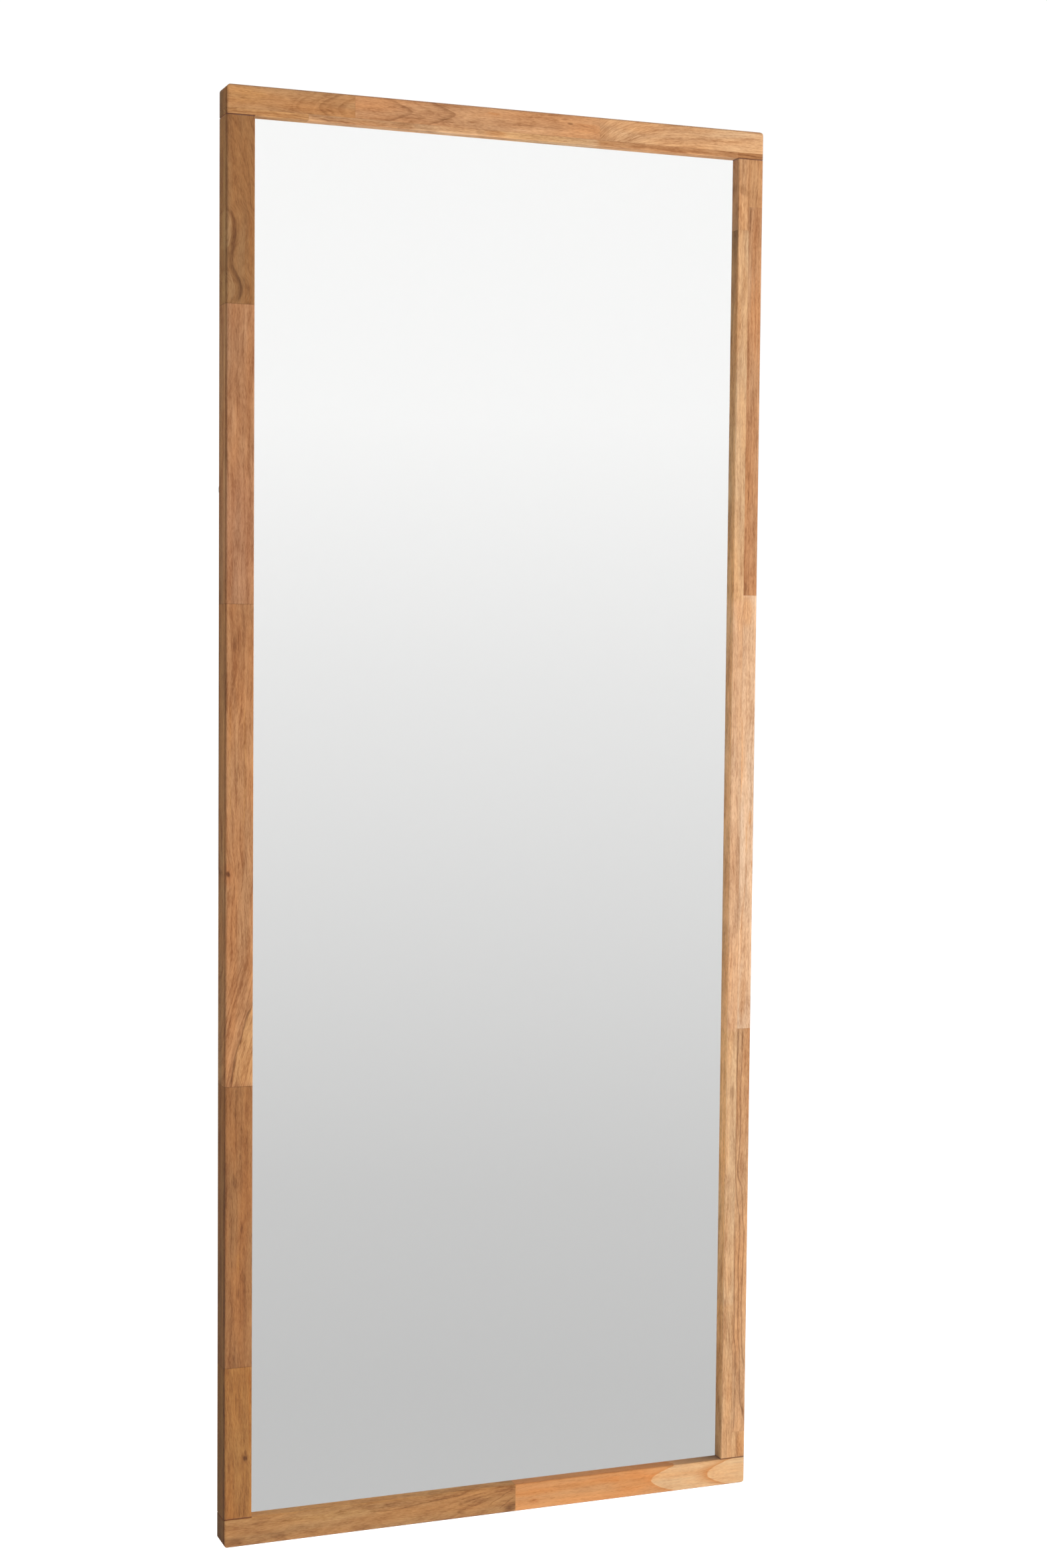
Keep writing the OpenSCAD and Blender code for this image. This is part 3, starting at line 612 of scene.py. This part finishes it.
def oak(name, stave):
    material, shader, place, normal = newMaterial("oak_" + name)
    seed, colour = stave["seed"], scaled(stave["colour"], (grain["level"],) * 3)
    tall, half, member = outline["tall"], outline["wide"] / 2, outline["member"]
    x, deep, z = place.vector("MULTIPLY_ADD", (1, 1, -1), (half, outline["front"], tall)).parts()
    rail = "rail" in name
    along, across = (x, z) if rail else (z, x)
    straight = along.at(across, deep)

    # The fibres meander a little, and round the knots
    bent = across + (straight.noise(cells["meander"], seed, 1.0) - 0.5) * stave.get("sway", 12.0)
    if "flow" in stave:
        bent = bent - along.follow(stave["flow"])
    fibres = along.at(bent, deep)
    fine = fibres.noise(cells["fibre"], seed + 1, 3.0, 0.6)
    hair = fibres.noise(cells["hair"], seed + 9, 1.5).rise(0.38, 0.62, soft=False)
    tone = fibres.noise(cells["tone"], seed + 2, 2.0)
    cloud = straight.noise(cells["cloud"], seed + 3, 2.0)
    dashes = fibres.noise(cells["dashes"], seed + 8, 1.0, 0.4).rise(0.56, 0.64)
    calm = stave.get("calm", 1.0)

    # Year rings round the pith, each with a band of open pores
    pithAlong, pithAcross, pithDeep, slope = stave["pith"]
    far = ((bent - pithAcross) ** 2.0 + (deep - pithDeep - (along - pithAlong) * slope) ** 2.0) ** 0.5
    uneven = (along * 0.004).at(far / 9.0, seed * 1.7).noise((1, 1, 1), seed, 1.0)
    year = (far / stave["pitch"] + (uneven - 0.5) * 1.6 + (cloud - 0.5) * 0.5).math("FRACT")
    band = year.rise(0.0, 0.10) * year.rise(0.22, 0.62, 1.0, 0.0)
    strength = along.follow(stave["ringsAt"]) if "ringsAt" in stave else 1.0

    # Streaks run with the rings, so they bend where the rings do
    streak = along.at(far + (cloud - 0.5) * 2.5, bent).noise(cells["streak"], seed + 5, 3.0, 0.55)

    shade = grain["middle"]
    for size, wire in {"fibre": fine, "streak": streak, "hair": hair, "tone": tone, "cloud": cloud}.items():
        shade = shade + (wire - 0.5) * (grain[size] * calm)
    shade = shade - band * stave["rings"] * strength
    darkest, lightest = scaled(colour, grain["dark"]), scaled(colour, grain["light"])
    body = shade.ramp([(0.0, darkest), (0.5, colour), (1.0, lightest)])
    hue = straight.noise(cells["hue"], seed + 6, 1.0).rise(0.3, 0.7, soft=False)
    body = body.vector("MULTIPLY", hue.mix(grain["warm"], grain["cool"]))

    # The stave's own marks, which fade towards the back
    wobble = straight.noise(cells["wobble"], seed + 7, 2.0, output="Color").parts()
    markAlong = along + (wobble[0] - 0.5) * stave.get("ragged", 6.0)
    markAcross = across + (wobble[1] - 0.5) * 2.4 + deep * 0.12
    grip = fine.rise(0.35, 0.62, 1.0, 0.75) * deep.rise(9, 24, 1.0, 0.3)
    for kind, *figures, tint, share in stave["marks"]:
        shape = markShape(markAlong, markAcross, kind, *figures)
        body = (shape * grip * share).mix(body, shades[tint], "MULTIPLY")

    # Pores are short dark dashes, thickest in the bands
    pores = (fibres.noise(cells["pores"], seed + 4, 1.0, 0.4) + band * 0.05).rise(0.60, 0.69)
    body = (pores * grain["pores"]).mix(body, grain["poreTint"], "MULTIPLY")
    body = (dashes * (grain["dashes"] * calm)).mix(body, grain["dashTint"], "MULTIPLY")

    # Glue lines and butt joints, where a side of the stave isn't a side of the frame
    low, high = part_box(name)
    butt = stave.get("butt", grain["butt"])
    sides = ((low[0], high[0], half, 1, outline["wide"]), (low[2], high[2], tall, -1, tall))
    for axis, (lowest, highest, offset, sign, length) in enumerate(sides):
        isAlong = (axis == 0) == rail
        for edge in (lowest, highest):
            edge = offset + sign * edge * 1000
            isFree = min(abs(edge - side) for side in (0, member, length - member, length)) <= 1
            if isFree and not (isAlong and 5 < edge < length - 5):
                continue
            gap = ((along if isAlong else across) - edge).math("ABSOLUTE")
            if isAlong and not rail and min(abs(edge - end) for end in (member, length - member)) < 1:
                reaches, tint = 1.5, grain["grooveTint"]
                depth = grain["groove"] * (0.7 if "right" in name else 1.0)
            else:
                reaches, tint = 0.6, grain["glueTint"]
                depth = butt if isAlong else grain["glue"]
            body = gap.rise(0.1, reaches, depth, 0.0).mix(body, tint, "MULTIPLY")
    if rail:  # where the stiles' ends meet it
        gap = ((across - tall / 2).math("ABSOLUTE") - (tall / 2 - member)).math("ABSOLUTE")
        gap = gap.rise(0.1, 1.0, grain["groove"], 0.0) * along.rise(200.0, 400.0, 1.0, 0.7)
        gap = gap * (along - half).math("ABSOLUTE").rise(half - member - 1.0, half - member + 0.5)
        body = gap.mix(body, grain["grooveTint"], "MULTIPLY")

    # Painted shade: a darker line along the frame's outer front arrises
    arrisShade = (x - half).math("ABSOLUTE") + (tall / 2 - half)
    arrisShade = arrisShade.math("MAXIMUM", (z - tall / 2).math("ABSOLUTE")).rise(tall / 2 - 2.4, tall / 2 - 1.0)
    arrisShade = arrisShade * deep.rise(0.1, 0.8) * deep.rise(1.9, 3.2, 1.0, 0.0)
    body = (arrisShade * grain["arris"]).mix(body, grain["arrisShadeTint"], "MULTIPLY")

    # Painted light and shade on a side, which reaches round the back arris too
    facing = normal.parts()[0]
    for axis, sign, alongIt, backwards, tint in stave.get("paintedShading", []):
        turned = (facing.out(axis) * sign + deep.rise(20, 26) * 0.4).rise(0.5, 0.95)
        paintedShare = along.follow(alongIt) * deep.rise(*backwards)
        body = turned.mix(body, body.vector("MULTIPLY", paintedShare.at(paintedShare, paintedShare)).vector("MULTIPLY", tint))

    # End grain drinks more oil
    ends = facing.out("X" if rail else "Z").math("ABSOLUTE").rise(0.55, 0.9)
    body = ends.mix(body, grain["endTint"], "MULTIPLY")

    plug(shader, {
        "Base Color": body,
        "Roughness": (fine + pores) * grain["rougher"] + ends * grain["endRougher"] + grain["rough"],
        "Normal": relief(fine * 0.5 + (1 - pores) * 0.5, grain["reliefStrength"], grain["reliefDepth"]),
        "Specular IOR Level": grain["sheen"],
    })
    return material


for name, stave in staves.items():
    paint(oak(name, stave), name)
print("oak staves finished:", len(staves))


# Glass and silvering
mirror = {
    "tint": (0.975, 0.976, 0.974),
    "silver": (0.957, 0.957, 0.955),
    "film": (0.23, 0.24, 0.25),
    "air": 0.00003,        # between the glass and the silver, which can't share one plane in a render
    "paint": 0.00012,      # thickness of the silver with its paint
    "inset": 0.0015,       # the safety film stops short of the silver's edge
    "corner": 0.004,       # radius of the film's corners
}
material, shader = newMaterial("float_glass")[:2]
plug(shader, {"Base Color": (*mirror["tint"], 1), "Roughness": 0.0, "IOR": 1.5, "Transmission Weight": 1.0})
paint(material, "mirror_glass")

lowest, highest = (Vector(corner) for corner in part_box("mirror_silvering"))
deselect()
silverAt = lowest.y + mirror["air"]
middle = (lowest + highest) / 2
bpy.ops.mesh.primitive_cube_add(
    size=1, location=(middle.x, silverAt + mirror["paint"] / 2, middle.z),
    scale=(highest.x - lowest.x, mirror["paint"], highest.z - lowest.z))
silvering = bpy.context.object
silvering.name = "silver_and_film"
bpy.ops.object.transform_apply(location=True, rotation=True, scale=True)
pick(silvering, "FACE", lambda face: face.normal.y > 0.5)
bpy.ops.mesh.inset(thickness=mirror["inset"])
filmDepth = highest.y - silverAt - mirror["paint"]
bpy.ops.mesh.extrude_region_move(TRANSFORM_OT_translate={"value": (0, filmDepth, 0)})
pick(silvering, "EDGE", lambda edge: abs(reach(silvering, edge).y) > filmDepth * 0.9)
bpy.ops.mesh.bevel(offset=mirror["corner"], segments=5, affect="EDGES")
bpy.ops.object.mode_set(mode="OBJECT")
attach(silvering, "frame")
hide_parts("mirror_silvering")

material, shader, place = newMaterial("silvering")[:3]
silverMm = silverAt * 1000
behind = place.parts()[1].rise(silverMm + 0.02, silverMm + 0.06, soft=False)  # 0 on the silver, 1 on its back
mottle = place.noise((60, 60, 60), 4.0, 3.0)
filmTone = mottle.mix(scaled(mirror["film"], (0.9,) * 3), scaled(mirror["film"], (1.1,) * 3))
plug(shader, {
    "Base Color": behind.mix(mirror["silver"], filmTone), "Metallic": 1 - behind, "Roughness": behind * 0.55,
})
silvering.data.materials.append(material)
print("mirror finished")


# Pieces of one stuff, by how their names start: the material's name, its colour, how far its shade varies,
# the size of its specks in mm, its roughness, and the depth of its relief in m
stuffs = {
    "corner_dowels": ("beech", (0.60, 0.42, 0.25), 0.12, 0.9, 0.5, 0.0002),
    "glazing_tape": ("black_foam", (0.028, 0.030, 0.029), 0.35, 0.5, 0.75, 0.0002),
    "glass_packers": ("packer_rubber", (0.02, 0.02, 0.022), 0.15, 0.8, 0.6, 0.0001),
    "mounting_tape": ("white_foam", (0.74, 0.73, 0.69), 0.06, 0.5, 0.8, 0.0002),
    "bumper": ("bumper_rubber", (0.018, 0.018, 0.019), 0.2, 0.6, 0.55, 0.0001),
}
for beginning, (stuff, colour, varies, size, rough, depth) in stuffs.items():
    material, shader, place = newMaterial(stuff)[:3]
    specks = place.noise((size,) * 3, 2.0, 3.0, 0.6)
    patches = place.noise((size * 14,) * 3, 5.0, 2.0)
    shade = specks.rise(0.28, 0.72, 1 - varies, 1 + varies, False) * patches.rise(0.3, 0.7, 0.93, 1.07, False)
    plug(shader, {
        "Base Color": shade.at(shade, shade).vector("MULTIPLY", colour),
        "Roughness": specks * 0.15 + rough,
        "Normal": relief(specks, 0.4, depth),
    })
    paint(material, *[name for name in nodes if name.startswith(beginning)])

board = {
    "tones": [(0.0, (0.16, 0.095, 0.05)), (0.5, (0.30, 0.19, 0.105)), (1.0, (0.44, 0.30, 0.18))],
    "fleck": (0.10, 0.055, 0.03),
    "relief": 0.0002,
}
material, shader, place = newMaterial("fibreboard")[:3]
strands = place.noise((3.2, 0.9, 1.1), 1.0, 4.0, 0.65)
crossing = place.noise((1.0, 0.9, 3.4), 3.0, 4.0, 0.65)
flecks = place.noise((1.4, 1.4, 1.4), 7.0, 2.0).rise(0.66, 0.74)
patches = place.noise((150, 150, 150), 6.0, 3.0)
shade = (strands - 0.5) * 1.1 + (crossing - 0.5) * 1.1 + (patches - 0.5) * 0.5 + 0.5
plug(shader, {
    "Base Color": (flecks * 0.7).mix(shade.ramp(board["tones"]), board["fleck"]),
    "Roughness": strands * 0.2 + 0.62,
    "Normal": relief(strands * 0.5 + crossing * 0.5, 0.4, board["relief"]),
})
paint(material, "backing_board")

zinc = {"dull": (0.52, 0.53, 0.54), "bright": (0.70, 0.71, 0.71), "rough": 0.16, "relief": 0.00006}
material, shader, place = newMaterial("zinc_plate")[:3]
mottle = place.noise((5, 5, 5), 3.0, 3.0, 0.6)
scratches = place.noise((9, 9, 0.35), 8.0, 2.0)
plug(shader, {
    "Base Color": mottle.rise(0.3, 0.7, soft=False).mix(zinc["dull"], zinc["bright"]),
    "Metallic": 1.0,
    "Roughness": mottle * 0.16 + scratches * 0.14 + zinc["rough"],
    "Normal": relief(scratches, 0.15, zinc["relief"]),
})
paint(material, *[name for name in nodes if "turn_button" in name or "hanger" in name])
print("back finished")


# Studio: a white floor and backdrop, a soft key light from the right, and what the mirror sees of the room
studio = {
    "ambient": (0.5, 0.14),   # at the horizon and overhead
    "floorRadius": 7.5, "floorGlow": 1.15, "floorColour": (0.35, 0.35, 0.35, 1),
    "backdropRadius": 7.4, "backdropGlow": 1.02,
    "key": {"spot": (3.0, -2.2, 1.7), "aim": (0, 0, 0.8), "size": (1.8, 2.4), "power": 125},
    # The room the glass shows: its radius, the most a level may be, and brightness levels by height. In the
    # picture the glass shows heights from about -2.0 to 2.6.
    "roomRadius": 6.0, "brightest": 4.0,
    "mirrored": [
        (-6.0, 0.86), (-4.9, 0.8), (-4.4, 3.2), (-3.0, 2.7), (-2.65, 0.8), (-2.25, 0.58), (-1.65, 0.59),
        (-1.0, 0.64), (-0.1, 0.76), (0.8, 0.88), (1.25, 0.95), (1.7, 1.02), (2.75, 1.03), (3.4, 2.2),
        (6.0, 3.2),
    ],
    "dark": (-0.32, 0.947, 0.0), "behind": 0.12,   # where the room is darker, and by what share
    "showsFrame": False,   # whether the glass mirrors the frame's own edges
}
scene.view_settings.view_transform = "Standard"
world = bpy.data.worlds.new("studio")
scene.world = world
world.use_nodes = True
skywards = Wire(world.node_tree.nodes.new("ShaderNodeTexCoord").outputs["Generated"]).parts()[2]
plug(world.node_tree.nodes["Background"], {
    "Color": (1, 1, 1, 1), "Strength": skywards.rise(0.0, 0.9, *studio["ambient"]),
})


def seenOnlyBy(piece, *rays):
    for ray in ("camera", "diffuse", "glossy", "transmission", "volume_scatter", "shadow"):
        setattr(piece, "visible_" + ray, ray in rays)


def ball(name, radius, strength):  # a sphere round everything that only shines, and its emission node
    bpy.ops.mesh.primitive_uv_sphere_add(segments=48, ring_count=24, radius=radius, location=(0, 0, 0))
    piece = bpy.context.object
    piece.name = name
    material = bpy.data.materials.new(name)
    material.use_nodes = True
    tree = material.node_tree
    tree.nodes.clear()
    lamp = tree.nodes.new("ShaderNodeEmission")
    end = tree.nodes.new("ShaderNodeOutputMaterial")
    tree.links.new(lamp.outputs[0], end.inputs["Surface"])
    lamp.inputs["Strength"].default_value = strength
    material.cycles.emission_sampling = "NONE"
    piece.data.materials.append(material)
    return piece, lamp


deselect()
bpy.ops.mesh.primitive_circle_add(
    vertices=96, radius=studio["floorRadius"], fill_type="NGON", location=(0, 0, -0.0006))
floor = bpy.context.object
floor.name = "floor"
material, shader = newMaterial("floor")[:2]
plug(shader, {
    "Base Color": studio["floorColour"], "Specular IOR Level": 0.0, "Roughness": 1.0,
    "Emission Color": (1, 1, 1, 1), "Emission Strength": studio["floorGlow"],
})
floor.data.materials.append(material)
seenOnlyBy(floor, "camera", "diffuse", "shadow")

backdrop = ball("backdrop", studio["backdropRadius"], studio["backdropGlow"])[0]
seenOnlyBy(backdrop, "camera")

radius, brightest = studio["roomRadius"], studio["brightest"]
room, lamp = ball("room", radius, 1.0)
direction = Wire(lamp.id_data.nodes.new("ShaderNodeTexCoord").outputs["Object"]).vector("NORMALIZE")
levels = [((height / radius + 1) / 2, (level / brightest,) * 3) for height, level in studio["mirrored"]]
away = direction.vector("DOT_PRODUCT", studio["dark"]).out("Value")
plug(lamp, {
    "Color": direction.parts()[2].rise(-1.0, 1.0, soft=False).ramp(levels),
    "Strength": away.rise(0.45, 0.85, brightest, brightest * studio["behind"]),
})
seenOnlyBy(room, "glossy", "transmission")

key = bpy.data.objects.new("key", bpy.data.lights.new("key", "AREA"))
key.data.shape = "RECTANGLE"
key.data.size, key.data.size_y = studio["key"]["size"]
key.data.energy = studio["key"]["power"]
key.location = studio["key"]["spot"]
key.rotation_euler = (Vector(studio["key"]["aim"]) - key.location).to_track_quat("-Z", "Y").to_euler()
key.visible_glossy = key.visible_transmission = key.visible_camera = False
scene.collection.objects.link(key)

for name in nodes:
    if name in staves or name.startswith("glazing_tape"):
        nodes[name].visible_transmission = nodes[name].visible_glossy = studio["showsFrame"]
print("studio lit")
